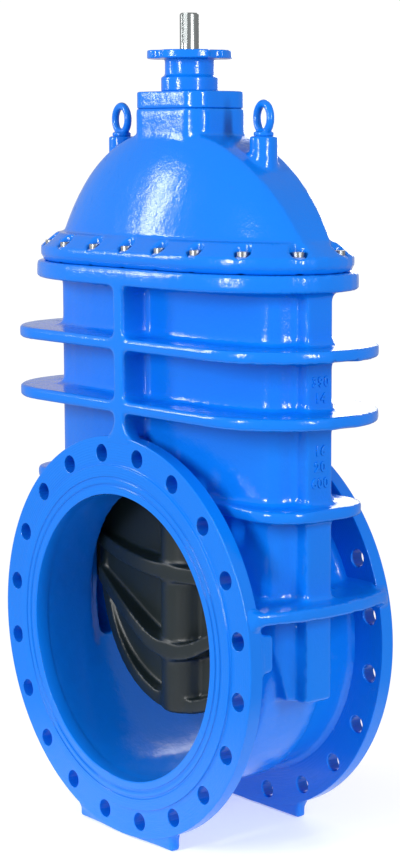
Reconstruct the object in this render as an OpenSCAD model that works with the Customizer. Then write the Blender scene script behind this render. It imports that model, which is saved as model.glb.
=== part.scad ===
// Resilient-seated gate valve, DN 600, with short pattern body and a top
// flange for an actuator. Millimetres, Z up. The pipe runs along Y and the
// stem along Z. The origin lies under the stem, on the surface it stands on.

/* [Pipe flanges] */
// Clear bore of the pipe
bore_d = 600; // [520:10:640]
// Outside diameter of both pipe flanges
flange_d = 840; // [820:5:880]
// Thickness of a pipe flange with its raised face
flange_t = 36; // [28:1:44]
// Distance between the two sealing faces
face_to_face = 390; // [380:5:430]
// Height of the raised sealing face
raised_h = 5; // [3:1:6]
// Distance from the bolt circle out to the flange's rim
bolt_edge = 35; // [30:1:40]
// Distance from the bolt circle in to the edge of the raised face
raised_edge = 25; // [22:1:32]
// Number of flange bolts, with none on the centre lines
bolt_count = 20; // [16:4:24]
// Diameter of a flange bolt hole
bolt_hole_d = 37; // [26:1:39]
// Distance from the bore to the middle of the inner sealing groove
groove_edge = 19; // [12:1:22]
// Distance between the two sealing grooves
groove_pitch = 15; // [10:1:18]
// Width of a sealing groove
groove_w = 4; // [2:0.5:5]
// Depth of a sealing groove
groove_depth = 1.5; // [0.5:0.5:2.5]
// Height of the flange rim above the feet's sole
flange_lift = 2; // [1:1:10]

/* [Feet] */
// Length of a foot across the pipe
foot_len = 320; // [280:4:380]
// Thickness of a foot along the pipe
foot_t = 24; // [16:1:30]
// Distance of a foot from the sealing face
foot_inset = 12; // [6:1:14]
// Height of a foot's straight ends
foot_h = 60; // [50:2:80]

/* [Body shell] */
// Wall of the barrel round the bore
barrel_wall = 26; // [18:1:32]
// Height of the neck's inner foot over the barrel's crown
neck_foot_rise = 12; // [8:1:16]
// Radial step of the wedge band over the barrel
band_step = 14; // [6:1:18]
// Width of the wedge band along the pipe
band_w = 150; // [120:5:180]
// Half thickness of the neck at the stem
neck_half_t = 125; // [118:1:134]
// Distance from the stem to the centre of a neck corner
neck_corner_x = 320; // [300:2:324]
// Height of a neck corner's centre off the middle plane
neck_corner_y = 40; // [36:1:54]
// Radius of the neck corners
neck_corner_r = 49; // [44:1:56]
// Wall of the neck
neck_wall = 16; // [10:1:20]
// Half thickness of the neck just under the side rib
neck_waist_half_t = 98; // [90:1:110]
// Half thickness of the neck at its foot
neck_toe_half_t = 50; // [42:1:70]
// Distance from the stem to the outer face of a guide rail housing
rail_x = 406; // [396:1:416]
// Half width of a guide rail housing
rail_half_w = 35; // [30:1:42]
// Wall of a guide rail housing
rail_wall = 14; // [10:1:16]
// End wall of a guide rail housing at the top, beside the joint ring
rail_top_wall = 30; // [26:1:34]
// Height of the foot of the guide rail housings
rail_foot_z = 335; // [320:5:370]
// Edge radius of a guide rail housing
rail_edge_r = 6; // [3:1:10]

/* [Body ribs] */
// Half length of the ring ribs across the pipe
rib_half_len = 483; // [460:2:496]
// Half width of the ring ribs along the pipe
rib_half_w = 192; // [184:1:194]
// Radius of the round ends of the ring ribs
rib_nose_r = 190; // [160:5:190]
// Thickness of the ribs
rib_t = 25; // [18:1:30]
// Height of the top of the upper ring rib
rib_upper_z = 1045; // [1030:5:1060]
// Height of the top of the lower ring rib
rib_lower_z = 916; // [890:2:940]
// Height of the top of the shoulder rib
rib_shoulder_z = 730; // [710:2:750]
// Half length of the shoulder rib across the pipe
shoulder_half_len = 440; // [420:2:470]
// Half width of the shoulder rib along the pipe
shoulder_half_w = 130; // [126:1:150]
// Corner radius of the shoulder rib
shoulder_corner_r = 90; // [70:5:110]
// Height of the top of the side rib between the flanges
rib_side_z = 540; // [500:5:580]
// Reach of the side rib across the pipe
rib_side_x = 455; // [440:1:480]
// Reach of the side rib at its ends, on the flange rims
rib_side_end_x = 418; // [406:1:424]
// Half width of the side rib along the pipe
rib_side_half_w = 175; // [166:1:184]
// Thickness of the upright ribs in front and behind
upright_t = 32; // [20:1:40]
// Radius of the flares at the foot of an upright rib
upright_flare_r = 45; // [30:5:60]
// Height of the lugs behind a pipe flange
lug_h = 75; // [50:1:90]
// Depth of the lugs behind a pipe flange
lug_depth = 34; // [16:2:40]
// Width of the lugs behind a pipe flange
lug_w = 18; // [14:1:30]
// Distance of a lug from the flange's rim
lug_edge = 6; // [4:1:10]
// Drop of a lug's foot under the pipe's axis
lug_drop = 5; // [0:1:10]

/* [Cover joint] */
// Height of the joint face between body and bonnet
joint_z = 1187; // [1170:1:1200]
// Thickness of the body's joint flange
joint_t = 36; // [26:1:42]
// Half length of the joint flange across the pipe
joint_half_len = 440; // [430:1:450]
// Half width of the joint flange along the pipe
joint_half_w = 194; // [188:1:195]
// Radius of the long shoulders of the joint flange
oval_shoulder_r = 362; // [340:2:380]
// Radius of the noses of the joint flange
oval_nose_r = 160; // [140:2:170]
// Setback of the bonnet's rim from the body's joint flange
rim_setback = 9; // [0:1:12]
// Setback of the bonnet's foot from the body's joint flange
foot_setback = 14; // [10:1:20]
// Height of the bonnet's foot under the rim
bonnet_foot_h = 12; // [8:1:20]
// Thickness of the bonnet's rim
rim_t = 19; // [14:1:24]
// Height of the sloping shoulder over the rim
slope_h = 29; // [20:1:36]
// Setback of the top of the sloping shoulder from the body's joint flange
slope_setback = 44; // [34:1:52]
// Number of cover screws, an even number
screw_count = 18; // [14:2:22]
// Diameter of a cover screw's recess
screw_recess_d = 34; // [26:1:40]
// Distance of the cover screws from the edge of the joint flange
screw_edge = 29; // [27:1:32]
// Depth of a cover screw's recess under the shoulder's top
screw_recess_depth = 32; // [24:1:36]
// Diameter of a cover screw's hole
screw_hole_d = 17; // [14:1:20]
// Wall between a cover screw's recess and the joint's rubber ring
gasket_edge = 5; // [4:1:10]
// Width of the joint's rubber ring
gasket_w = 8; // [6:1:12]
// Depth of the joint ring's groove
gasket_h = 8; // [6:1:10]

/* [Bonnet dome] */
// Radius of the dome's back, which runs from end to end over the stem
dome_r = 458; // [450:1:466]
// Height of the centre of the dome's back
dome_centre_z = 1009; // [1000:1:1016]
// Half length of the dome's belly, an ellipsoid
belly_x = 460; // [450:2:470]
// Half width of the dome's belly
belly_y = 165; // [155:1:170]
// Half height of the dome's belly
belly_h = 495; // [480:5:510]
// Height of the centre of the dome's belly
belly_centre_z = 1010; // [1000:1:1020]
// Wall of the dome
dome_wall = 16; // [12:1:18]

/* [Bearing boss] */
// Half length of the bearing boss
boss_x = 110; // [100:1:118]
// Half width of the bearing boss
boss_y = 75; // [70:1:84]
// Corner radius of the bearing boss
boss_r = 40; // [30:1:50]
// Height of the boss's joint under the bearing cover
boss_joint_z = 1508; // [1500:1:1516]
// Depth of the boss under its joint
boss_h = 100; // [90:1:110]
// Thickness of the bearing cover
cover_t = 35; // [30:1:40]
// Setback of the bearing cover from the boss
cover_setback = 1.5; // [1:0.5:4]

/* [Top flange] */
// Diameter of the top flange for the actuator
top_flange_d = 175; // [165:1:185]
// Thickness of the top flange
top_flange_t = 17; // [14:1:22]
// Pitch circle diameter of the top flange's bolts
top_bolt_circle_d = 140; // [134:1:144]
// Diameter of a top flange bolt hole
top_bolt_hole_d = 18; // [14:1:20]
// Number of top flange bolts
top_bolt_count = 4; // [4:4:8]
// Height of the housing from the bearing cover to the top flange's face
housing_h = 83; // [76:1:96]
// Diameter of the housing's foot
housing_foot_d = 118; // [112:1:124]
// Height of the housing's foot
housing_foot_h = 28; // [22:1:32]
// Height of the cone between the housing's foot and its throat
housing_cone_h = 5; // [3:1:8]
// Diameter of the housing's throat
housing_throat_d = 102; // [94:1:108]
// Depth of the waists between the top flange's ears
ear_waist = 10; // [4:1:12]
// Radius of the waists between the top flange's ears
ear_waist_r = 24; // [18:2:40]

/* [Stem] */
// Diameter of the stem's upper end, over the top flange
stem_d = 40; // [36:1:42]
// Height of the stem's upper end over the top flange
stem_proud = 76; // [66:1:90]
// Chamfer of the stem's upper end
stem_chamfer = 3; // [1:0.5:4]
// Diameter of the stem where it runs in its seals
seal_d = 44; // [43:0.5:48]
// Height of the stem's shoulder over the top flange
seal_proud = 1; // [0.5:0.5:2]
// Diameter of the stem's screw
screw_d = 44; // [42:1:48]
// Diameter of the stem's thrust collar
collar_d = 84; // [76:1:86]
// Thickness of the stem's thrust collar
collar_t = 20; // [14:1:22]
// Width of the keyway
key_w = 12; // [8:1:14]
// Depth of the keyway
key_depth = 5; // [3:0.5:6]
// Length of the keyway
key_len = 62; // [40:1:64]
// Turn of the keyway from the X axis
key_turn = -70; // [-180:5:180]
// Thickness of a thrust washer
washer_t = 8; // [6:1:10]
// Diameter of the bearing pocket in the boss
pocket_d = 92; // [90:1:96]
// Height of the stem's lower end
stem_foot_z = 757; // [756:1:762]
// Wall of the seal bush
seal_wall = 12; // [10:0.5:14]
// Height of a seal ring
seal_ring_h = 6; // [4:0.5:8]
// Width of a seal ring
seal_ring_w = 4; // [3:0.5:4.5]
// Height of the wiper ring
wiper_h = 8; // [6:0.5:10]
// Wall of the housing between the seal bush and the wiper ring
wiper_wall = 4; // [3:0.5:6]
// Wall between the bearing pocket and a cover ring's groove
ring_edge = 3; // [2:0.5:5]
// Width of a cover ring
ring_w = 6; // [4:0.5:7]
// Height of a cover ring
ring_h = 4; // [3:0.5:6]
// Width of the back seal
back_seal_w = 9; // [7:0.5:10]
// Height of the back seal
back_seal_h = 8; // [6:0.5:10]
// Wall between the back seal and the bearing pocket
back_seal_edge = 6; // [5:0.5:8]

/* [Wedge] */
// Lift of the wedge above its closed place, as it stands
wedge_lift = 118; // [100:1:140]
// Half thickness of the sealing rim at its lowest point
rim_mid_half_t = 56; // [50:1:62]
// Half thickness of the sealing rim at the wedge's sides
rim_end_half_t = 24; // [20:1:28]
// Half thickness of the wedge's web
wedge_web_half_t = 26; // [20:1:30]
// Radius of the wedge's stem column
column_r = 66; // [62:1:68]
// Half thickness of the wedge's bands at the column
band_mid_half_t = 72; // [70:1:76]
// Half thickness of the wedge's bands at the wedge's sides
band_end_half_t = 36; // [34:1:40]
// Width of the sealing rim
rim_w = 30; // [20:1:40]
// Height of each band
wedge_band_h = 35; // [26:1:40]
// Distance of the foot of the middle band under the wedge's centre
mid_band_drop = 183; // [160:1:190]
// Radius of the middle band's bend under the column
mid_band_r = 215; // [180:5:260]
// Slope of the middle band's straight sides
mid_band_slope = 28; // [24:1:32]
// Distance of the foot of the upper band under the wedge's centre
top_band_drop = 14; // [0:1:20]
// Rise of the upper band from the column to the wedge's edge
top_band_rise = 38; // [30:1:60]
// Height of the wedge's straight sides above its centre
wedge_side_h = 160; // [120:5:180]
// Height of the wedge's crown above its centre
wedge_crown_h = 290; // [270:2:296]
// Radius of the wedge's crown
wedge_crown_r = 320; // [304:2:340]
// Wall left under the screw's room in the wedge
screw_room = 24; // [20:1:26]
// Height of the stem column above the wedge's centre
column_h = 300; // [296:1:310]
// Height of the top of the nut's housing above the wedge's centre
nut_top_h = 403; // [398:1:408]
// Radius of the nut's housing
nut_housing_r = 52; // [48:1:53]
// Length of the wedge's guide shoes
shoe_len = 220; // [180:5:230]
// Half width of the wedge's guide shoes
shoe_half_w = 14; // [12:1:15]
// Diameter of the stem nut
nut_d = 84; // [72:1:86]
// Height of the stem nut
nut_h = 60; // [50:1:64]

/* [Lifting eyes] */
// Distance of the lifting eyes from the stem
eye_x = 235; // [225:1:245]
// Turn of the left eye about its thread
eye_turn_left = -8; // [-90:1:90]
// Turn of the right eye about its thread
eye_turn_right = -12; // [-90:1:90]
// Diameter of a lifting eye's boss
eye_boss_d = 56; // [50:1:60]
// Height of the top of a lifting eye's boss
eye_boss_z = 1452; // [1446:1:1460]
// Height of a lifting eye's boss, down into the dome's wall
eye_boss_h = 70; // [66:1:74]
// Outside diameter of a lifting eye
eye_d = 72; // [64:1:76]
// Thickness of a lifting eye's ring
eye_wire_d = 16; // [12:1:18]
// Diameter of a lifting eye's collar
eye_collar_d = 40; // [34:1:44]
// Height of a lifting eye's collar
eye_collar_h = 8; // [6:1:10]
// Thread diameter of a lifting eye
eye_thread_d = 20; // [16:2:24]
// Length of a lifting eye's thread
eye_thread_len = 30; // [20:1:34]

/* [Fits] */
// Gap between the closed wedge and its seat
seat_gap = 0.4; // [0.3:0.1:0.8]
// Gap between the moving wedge and the chamber's sides
chamber_gap = 8; // [6:1:10]
// Rise of the chamber's slot over the pipe's axis
slot_rise = 16; // [12:1:22]
// Gap between a guide shoe and the end wall beside the joint ring
shoe_gap = 6; // [5:0.5:8]
// Gap round the stem's screw in the bonnet and the wedge
screw_gap = 5; // [3:0.5:6]
// Gap over the nut's housing when the wedge is open
open_gap = 12; // [8:1:16]
// Rise of the open wedge over the bore
open_rise = 3; // [1:0.5:5]
// Room under a lifting eye's thread
thread_gap = 4; // [2:1:6]
// Gap round the stem in its seals and nut
stem_gap = 0.3; // [0.2:0.1:0.5]
// Gap between a thrust face and its washer
thrust_gap = 0.3; // [0.2:0.1:0.5]

/* [Hidden] */
$fn = 96;

// small amount by which a cut runs past a face
over = 1;
// depth that a rib's foot runs into what carries it
root = 6;
bore_r = bore_d / 2;
flange_r = flange_d / 2;
bolt_circle_r = flange_r - bolt_edge;
raised_r = bolt_circle_r - raised_edge;
axis_z = flange_r + flange_lift;
face_y = face_to_face / 2;
flange_back_y = face_y - flange_t;
barrel_r = bore_r + barrel_wall;
neck_foot_z = axis_z + barrel_r + neck_foot_rise;
joint_bottom_z = joint_z - joint_t;
rim_bottom_z = joint_z + bonnet_foot_h;
rim_top_z = rim_bottom_z + rim_t;
belly_base_z = rim_top_z + slope_h;
rail_inner_x = rail_x - rail_wall;
rail_top_x = rail_x - rail_top_wall;
rail_inner_half_w = rail_half_w - rail_wall;
gasket_inset = screw_edge + screw_recess_d / 2 + gasket_edge;

wedge_r = bore_r - seat_gap;
wedge_z = axis_z + wedge_lift;
chamber_x = wedge_r + chamber_gap;
slot_half_t = band_end_half_t + chamber_gap;
way_half_t = band_mid_half_t + chamber_gap;
nut_top_z = wedge_z + nut_top_h;
wedge_open_z = axis_z + bore_r + wedge_r + open_rise;

boss_pocket_z = boss_joint_z - 2 * washer_t - collar_t - 2 * thrust_gap;
back_seal_z = boss_pocket_z - back_seal_edge - back_seal_h;
collar_z = boss_pocket_z + washer_t + thrust_gap;
cover_top_z = boss_joint_z + cover_t;
top_face_z = cover_top_z + housing_h;
seal_top_z = top_face_z - wiper_h - wiper_wall;
stem_top_z = top_face_z + stem_proud;
seal_in_r = seal_d / 2 + stem_gap;
seal_out_r = seal_d / 2 + seal_wall;
// heights of the feet of the seal rings, in pairs inside and outside the bush
seal_ring_heights = [for (quarter = [1, 3])
    cover_top_z + (seal_top_z - cover_top_z) * quarter / 4 - seal_ring_h / 2];

// points of an arc about a centre, from angle a0 to a1 in n steps
function arc(centre, r, a0, a1, n) =
    [for (i = [0:n]) centre + r * [cos(a0 + (a1 - a0) * i / n), sin(a0 + (a1 - a0) * i / n)]];
// a quarter outline repeated round both axes
function four_fold(q) = concat(
    q,
    [for (i = [len(q) - 1:-1:0]) [-q[i][0], q[i][1]]],
    [for (p = q) [-p[0], -p[1]]],
    [for (i = [len(q) - 1:-1:0]) [q[i][0], -q[i][1]]]);

// radius of the long side arc that meets a corner arc without a kink
function side_r(half_t, cx, cy, r) =
    ((half_t - cy) * (half_t - cy) + cx * cx - r * r) / (2 * (half_t - cy - r));

// bulging oval with rounded corners and straight ends, shrunk by inset
module neck_oval(inset) {
    big = side_r(neck_half_t, neck_corner_x, neck_corner_y, neck_corner_r);
    centre_y = neck_half_t - big;
    tilt = atan2(neck_corner_y - centre_y, neck_corner_x);
    polygon(four_fold(concat(
        arc([neck_corner_x, neck_corner_y], neck_corner_r - inset, 0, tilt, 8),
        arc([0, centre_y], big - inset, tilt, 90, 5))));
}

// centre of the shoulder arc in the first quarter of a long oval
function shoulder_centre(half_len, half_w) =
    let (fall = oval_shoulder_r - half_w, reach = oval_shoulder_r - oval_nose_r)
    [half_len - oval_nose_r - sqrt(max(1, reach * reach - fall * fall)), -fall];

// angle at which the nose arc passes into the shoulder arc
function shoulder_turn(half_len, half_w) =
    let (centre = shoulder_centre(half_len, half_w))
    atan2(-centre[1], half_len - oval_nose_r - centre[0]);

// long oval of round noses, full shoulders and a straight middle, shrunk by inset
module long_oval(half_len, half_w, inset) {
    turn = shoulder_turn(half_len, half_w);
    polygon(four_fold(concat(
        arc([half_len - oval_nose_r, 0], oval_nose_r - inset, 0, turn, 5),
        arc(shoulder_centre(half_len, half_w), oval_shoulder_r - inset, turn, 90, 8))));
}

// outline of the cover joint, shrunk by inset
module joint_oval(inset) {
    long_oval(joint_half_len, joint_half_w, inset);
}

// rectangle of half sizes hx and hy with round corners
module round_rect(hx, hy, r) {
    square([2 * (hx - r), 2 * hy], center = true);
    square([2 * hx, 2 * (hy - r)], center = true);
    for (sx = [-1, 1], sy = [-1, 1])
        translate([sx * (hx - r), sy * (hy - r)]) circle(r);
}

// slab between two heights
module slab(z0, z1) {
    translate([0, 0, z0]) linear_extrude(z1 - z0) children();
}

// outline in the X-Z plane, extruded from y0 to y1
module across(y0, y1) {
    translate([0, y1, 0]) rotate([90, 0, 0]) linear_extrude(y1 - y0) children();
}

// cylinder along the pipe
module pipe_cylinder(r, y0, y1, z) {
    translate([0, y0, z]) rotate([-90, 0, 0]) cylinder(r = r, h = y1 - y0);
}

// neck with its guide rail housings; under the side rib it narrows to its foot
module neck() {
    waist_z = rib_side_z - rib_t;
    slab(waist_z, joint_bottom_z + over) neck_oval(0);
    slab(rail_foot_z, joint_bottom_z + over) round_rect(rail_x, rail_half_w, rail_edge_r);
    intersection() {
        slab(rail_foot_z, waist_z + over) neck_oval(0);
        rotate([90, 0, 90]) translate([0, 0, -rail_x]) linear_extrude(2 * rail_x) polygon([
            [-neck_toe_half_t, rail_foot_z], [neck_toe_half_t, rail_foot_z],
            [neck_waist_half_t, waist_z + over], [-neck_waist_half_t, waist_z + over]]);
    }
}

// one pipe flange, face towards -Y, before its holes
module pipe_flange() {
    pipe_cylinder(flange_r, -face_y + raised_h, -flange_back_y, axis_z);
    pipe_cylinder(raised_r, -face_y, -flange_back_y, axis_z);
    translate([-foot_len / 2, -face_y + foot_inset, 0])
        cube([foot_len, foot_t, foot_h]);
    translate([flange_r - lug_w - lug_edge, -flange_back_y - over, axis_z - lug_drop])
        cube([lug_w, lug_depth + over, lug_h]);
}

// everything that is cut from one pipe flange
module pipe_flange_cuts() {
    for (i = [0:bolt_count - 1]) {
        a = (i + 0.5) * 360 / bolt_count;
        translate([bolt_circle_r * sin(a), 0, bolt_circle_r * cos(a)])
            pipe_cylinder(bolt_hole_d / 2, -face_y - over, -flange_back_y + over, axis_z);
    }
    for (edge = [groove_edge, groove_edge + groove_pitch]) difference() {
        pipe_cylinder(bore_r + edge + groove_w / 2, -face_y - over, -face_y + groove_depth, axis_z);
        pipe_cylinder(bore_r + edge - groove_w / 2, -bore_r, 0, axis_z);
    }
}

// upright rib with a flared foot on the flange rim
module upright_rib() {
    half_t = upright_t / 2;
    rim_z = axis_z + flange_r;
    across(-rib_half_w, -neck_half_t + neck_wall / 2)
        translate([-half_t, rim_z - over]) square([upright_t, joint_bottom_z - rim_z + 2 * over]);
    flare = upright_flare_r;
    foot_z = rim_z - root;
    across(-rib_half_w, -flange_back_y) polygon(concat(
        arc([half_t + flare, foot_z + flare], flare, 180, 270, 8),
        [[half_t + flare, foot_z - 3 * root], [-half_t - flare, foot_z - 3 * root]],
        arc([-half_t - flare, foot_z + flare], flare, -90, 0, 8)));
}

module body_solid() {
    pipe_flange();
    rotate([0, 0, 180]) pipe_flange();
    pipe_cylinder(barrel_r, -face_y + raised_h, face_y - raised_h, axis_z);
    pipe_cylinder(barrel_r + band_step, -band_w / 2, band_w / 2, axis_z);
    neck();
    slab(joint_bottom_z, joint_z) joint_oval(0);
    for (z = [rib_upper_z, rib_lower_z])
        slab(z - rib_t, z) round_rect(rib_half_len, rib_half_w, rib_nose_r);
    slab(rib_shoulder_z - rib_t, rib_shoulder_z)
        round_rect(shoulder_half_len, shoulder_half_w, shoulder_corner_r);
    side_rib();
    upright_rib();
    mirror([0, 1, 0]) upright_rib();
}

// side rib, which bulges between the pipe flanges and ends on their rims
module side_rib() {
    rise = rib_side_x - rib_side_end_x;
    r = (rib_side_half_w * rib_side_half_w + rise * rise) / (2 * rise);
    slab(rib_side_z - rib_t, rib_side_z) intersection() {
        union() {
            translate([rib_side_x - r, 0]) circle(r);
            translate([-rib_side_x + r, 0]) circle(r);
        }
        square([2 * rib_side_x, 2 * rib_side_half_w], center = true);
    }
}

// lens of two arcs, cut by whatever it is crossed with at its half length
module lens_plan(half_len, mid_half_t, end_half_t) {
    reach = mid_half_t - end_half_t;
    r = (half_len * half_len + reach * reach) / (2 * reach);
    intersection() {
        translate([0, mid_half_t - r]) circle(r, $fn = 720);
        translate([0, r - mid_half_t]) circle(r, $fn = 720);
    }
}

// space that the wedge and its shoes move in
module chamber() {
    slot_z = axis_z + slot_rise;
    pipe_cylinder(chamber_x + 2 * over, -slot_half_t, slot_half_t, slot_z);
    // way through the crown of the barrel into the neck
    slab(slot_z, neck_foot_z + over) intersection() {
        lens_plan(chamber_x, way_half_t, slot_half_t);
        neck_oval(neck_wall);
        square([2 * chamber_x, 2 * bore_r], center = true);
    }
    slab(neck_foot_z, joint_z + over) neck_oval(neck_wall);
    // channels for the guide shoes, which are shorter at the joint ring
    slab(rail_foot_z + rail_wall, joint_bottom_z)
        square([2 * rail_inner_x, 2 * rail_inner_half_w], center = true);
    slab(joint_bottom_z - over, joint_z + over)
        square([2 * rail_top_x, 2 * rail_inner_half_w], center = true);
}

module body() {
    color("#1565e8") difference() {
        body_solid();
        pipe_flange_cuts();
        rotate([0, 0, 180]) pipe_flange_cuts();
        pipe_cylinder(bore_r, -face_y - over, face_y + over, axis_z);
        chamber();
        slab(joint_z - gasket_h, joint_z + over) difference() {
            joint_oval(gasket_inset);
            joint_oval(gasket_inset + gasket_w);
        }
    }
}

// dome whose belly ends in ridges under the round back, shrunk by inset
module dome(inset) {
    intersection() {
        across(-joint_half_w, joint_half_w) intersection() {
            translate([0, dome_centre_z]) circle(dome_r - inset, $fn = 180);
            translate([-dome_r, rim_top_z]) square([2 * dome_r, dome_r]);
        }
        translate([0, 0, belly_centre_z])
            scale([belly_x - inset, belly_y - inset, belly_h - inset]) sphere(1, $fn = 144);
    }
}

// length of an arc
function arc_len(r, angle) = PI * r * angle / 180;

// point on the first quarter of the line of cover screws, s along it from the nose
function screw_point(s) =
    let (
        nose_r = oval_nose_r - screw_edge,
        shoulder_r = oval_shoulder_r - screw_edge,
        shoulder = shoulder_centre(joint_half_len, joint_half_w),
        turn = shoulder_turn(joint_half_len, joint_half_w),
        nose_len = arc_len(nose_r, turn),
        shoulder_len = arc_len(shoulder_r, 90 - turn))
    s < nose_len ?
        arc([joint_half_len - oval_nose_r, 0], nose_r, 0, turn * s / nose_len, 1)[1]
    : s < nose_len + shoulder_len ?
        arc(shoulder, shoulder_r, turn, turn + (90 - turn) * (s - nose_len) / shoulder_len, 1)[1]
    : [shoulder[0] - (s - nose_len - shoulder_len), joint_half_w - screw_edge];

// length of a quarter of the line of cover screws
function screw_quarter() =
    let (turn = shoulder_turn(joint_half_len, joint_half_w))
    arc_len(oval_nose_r - screw_edge, turn) + arc_len(oval_shoulder_r - screw_edge, 90 - turn)
        + shoulder_centre(joint_half_len, joint_half_w)[0];

// places of the cover screws, at an even pitch round the joint
function screw_places() =
    let (quarter = screw_quarter(), pitch = 4 * quarter / screw_count)
    [for (i = [0:screw_count / 2 - 1], side = [-1, 1])
        let (s = (i + 0.5) * pitch, p = screw_point(min(s, 2 * quarter - s)))
        [s > quarter ? -p[0] : p[0], side * p[1]]];

// what is cut from the bonnet inside: the chamber, the nut's room, the stem's
// bore, the bearing pocket and the back seal's groove
module bonnet_inside() {
    slab(joint_z - over, belly_base_z) neck_oval(neck_wall);
    slab(joint_z - over, rim_top_z)
        square([2 * rail_top_x, 2 * rail_inner_half_w], center = true);
    dome(dome_wall);
    slab(belly_base_z, wedge_open_z + nut_top_h + open_gap) circle(r = nut_housing_r + chamber_gap);
    slab(belly_base_z, boss_joint_z + over) circle(d = screw_d + 2 * screw_gap);
    slab(boss_pocket_z, boss_joint_z + over) circle(d = pocket_d);
    slab(back_seal_z, back_seal_z + back_seal_h) circle(r = screw_d / 2 + stem_gap + back_seal_w);
}

module bonnet() {
    color("#1565e8") difference() {
        union() {
            slab(joint_z, rim_bottom_z + over) joint_oval(foot_setback);
            slab(rim_bottom_z, rim_top_z) joint_oval(rim_setback);
            hull() {
                slab(rim_top_z - over, rim_top_z) joint_oval(rim_setback);
                slab(belly_base_z - over, belly_base_z) joint_oval(slope_setback);
            }
            dome(0);
            slab(boss_joint_z - boss_h, boss_joint_z) round_rect(boss_x, boss_y, boss_r);
            for (side = [-1, 1]) translate([side * eye_x, 0, eye_boss_z - eye_boss_h])
                cylinder(d = eye_boss_d, h = eye_boss_h);
        }
        bonnet_inside();
        for (side = [-1, 1]) translate([side * eye_x, 0, eye_boss_z - eye_thread_len - thread_gap])
            cylinder(d = eye_thread_d, h = eye_thread_len + thread_gap + over);
        for (p = screw_places()) translate(p) {
            slab(belly_base_z - screw_recess_depth, belly_base_z + over) circle(d = screw_recess_d);
            slab(joint_z - over, belly_base_z) circle(d = screw_hole_d);
        }
    }
}

module bonnet_gasket() {
    color("#1a1a1c") slab(joint_z - gasket_h, joint_z) difference() {
        joint_oval(gasket_inset);
        joint_oval(gasket_inset + gasket_w);
    }
}

// ring about the stem, from radius r0 to r1
module stem_ring(r0, r1, z0, z1) {
    translate([0, 0, z0]) difference() {
        cylinder(r = r1, h = z1 - z0);
        translate([0, 0, -over]) cylinder(r = r0, h = z1 - z0 + 2 * over);
    }
}

module back_seal() {
    inner_r = screw_d / 2 + stem_gap;
    color("#1a1a1c") stem_ring(inner_r, inner_r + back_seal_w, back_seal_z, back_seal_z + back_seal_h);
}

// rubber ring round the bearing, over the height z, or the groove it lies in
module cover_ring(z, grow) {
    inner_r = pocket_d / 2 + ring_edge;
    stem_ring(inner_r, inner_r + ring_w, z - grow, z + ring_h);
}

module bearing_cover() {
    color("#1565e8") difference() {
        slab(boss_joint_z, cover_top_z)
            round_rect(boss_x - cover_setback, boss_y - cover_setback, boss_r - cover_setback);
        slab(boss_joint_z - over, cover_top_z + over) circle(r = seal_in_r);
        cover_ring(boss_joint_z, over);
    }
}

module cover_gasket() {
    color("#1a1a1c") cover_ring(boss_joint_z, 0);
}

module top_flange() {
    throat_top = housing_h - top_flange_t + over;
    color("#1565e8") difference() {
        union() {
            translate([0, 0, cover_top_z]) rotate_extrude() polygon([
                [0, 0], [housing_foot_d / 2, 0], [housing_foot_d / 2, housing_foot_h],
                [housing_throat_d / 2, housing_foot_h + housing_cone_h],
                [housing_throat_d / 2, throat_top], [0, throat_top]]);
            slab(top_face_z - top_flange_t, top_face_z) difference() {
                circle(d = top_flange_d);
                for (i = [0:top_bolt_count - 1]) rotate(i * 360 / top_bolt_count)
                    translate([top_flange_d / 2 + ear_waist_r - ear_waist, 0]) circle(ear_waist_r);
            }
        }
        for (i = [0:top_bolt_count - 1]) rotate((i + 0.5) * 360 / top_bolt_count)
            translate([top_bolt_circle_d / 2, 0])
                slab(top_face_z - top_flange_t - over, top_face_z + over) circle(d = top_bolt_hole_d);
        slab(cover_top_z - over, top_face_z + over) circle(r = seal_in_r);
        slab(cover_top_z - over, seal_top_z) circle(r = seal_out_r);
        slab(top_face_z - wiper_h, top_face_z + over) circle(r = seal_out_r);
        cover_ring(cover_top_z, over);
    }
}

module housing_gasket() {
    color("#1a1a1c") cover_ring(cover_top_z, 0);
}

module thrust_washer_lower() {
    color("#d8d2c4") stem_ring(seal_in_r, pocket_d / 2, boss_pocket_z, boss_pocket_z + washer_t);
}

module thrust_washer_upper() {
    color("#d8d2c4") stem_ring(seal_in_r, pocket_d / 2, boss_joint_z - washer_t, boss_joint_z);
}

module seal_bush() {
    color("#e6e0d0") difference() {
        stem_ring(seal_in_r, seal_out_r, cover_top_z, seal_top_z);
        for (z = seal_ring_heights) {
            slab(z, z + seal_ring_h) circle(r = seal_in_r + seal_ring_w);
            stem_ring(seal_out_r - seal_ring_w, seal_out_r + over, z, z + seal_ring_h);
        }
    }
}

module seal_rings() {
    color("#1a1a1c") for (z = seal_ring_heights) {
        stem_ring(seal_in_r, seal_in_r + seal_ring_w, z, z + seal_ring_h);
        stem_ring(seal_out_r - seal_ring_w, seal_out_r, z, z + seal_ring_h);
    }
}

module wiper_ring() {
    color("#1a1a1c") stem_ring(seal_in_r, seal_out_r, top_face_z - wiper_h, top_face_z);
}

module stem() {
    shoulder_z = top_face_z + seal_proud;
    chamfer_z = stem_top_z - stem_chamfer;
    color("#c9ccce") difference() {
        union() {
            slab(stem_foot_z, collar_z + over) circle(d = screw_d);
            slab(collar_z, collar_z + collar_t) circle(d = collar_d);
            slab(collar_z + collar_t - over, shoulder_z) circle(d = seal_d);
            slab(shoulder_z - over, chamfer_z) circle(d = stem_d);
            translate([0, 0, chamfer_z])
                cylinder(r1 = stem_d / 2, r2 = stem_d / 2 - stem_chamfer, h = stem_chamfer);
        }
        rotate(key_turn) translate([stem_d / 2 - key_depth, -key_w / 2, stem_top_z - key_len])
            cube([stem_d, key_w, key_len + over]);
    }
}

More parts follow.
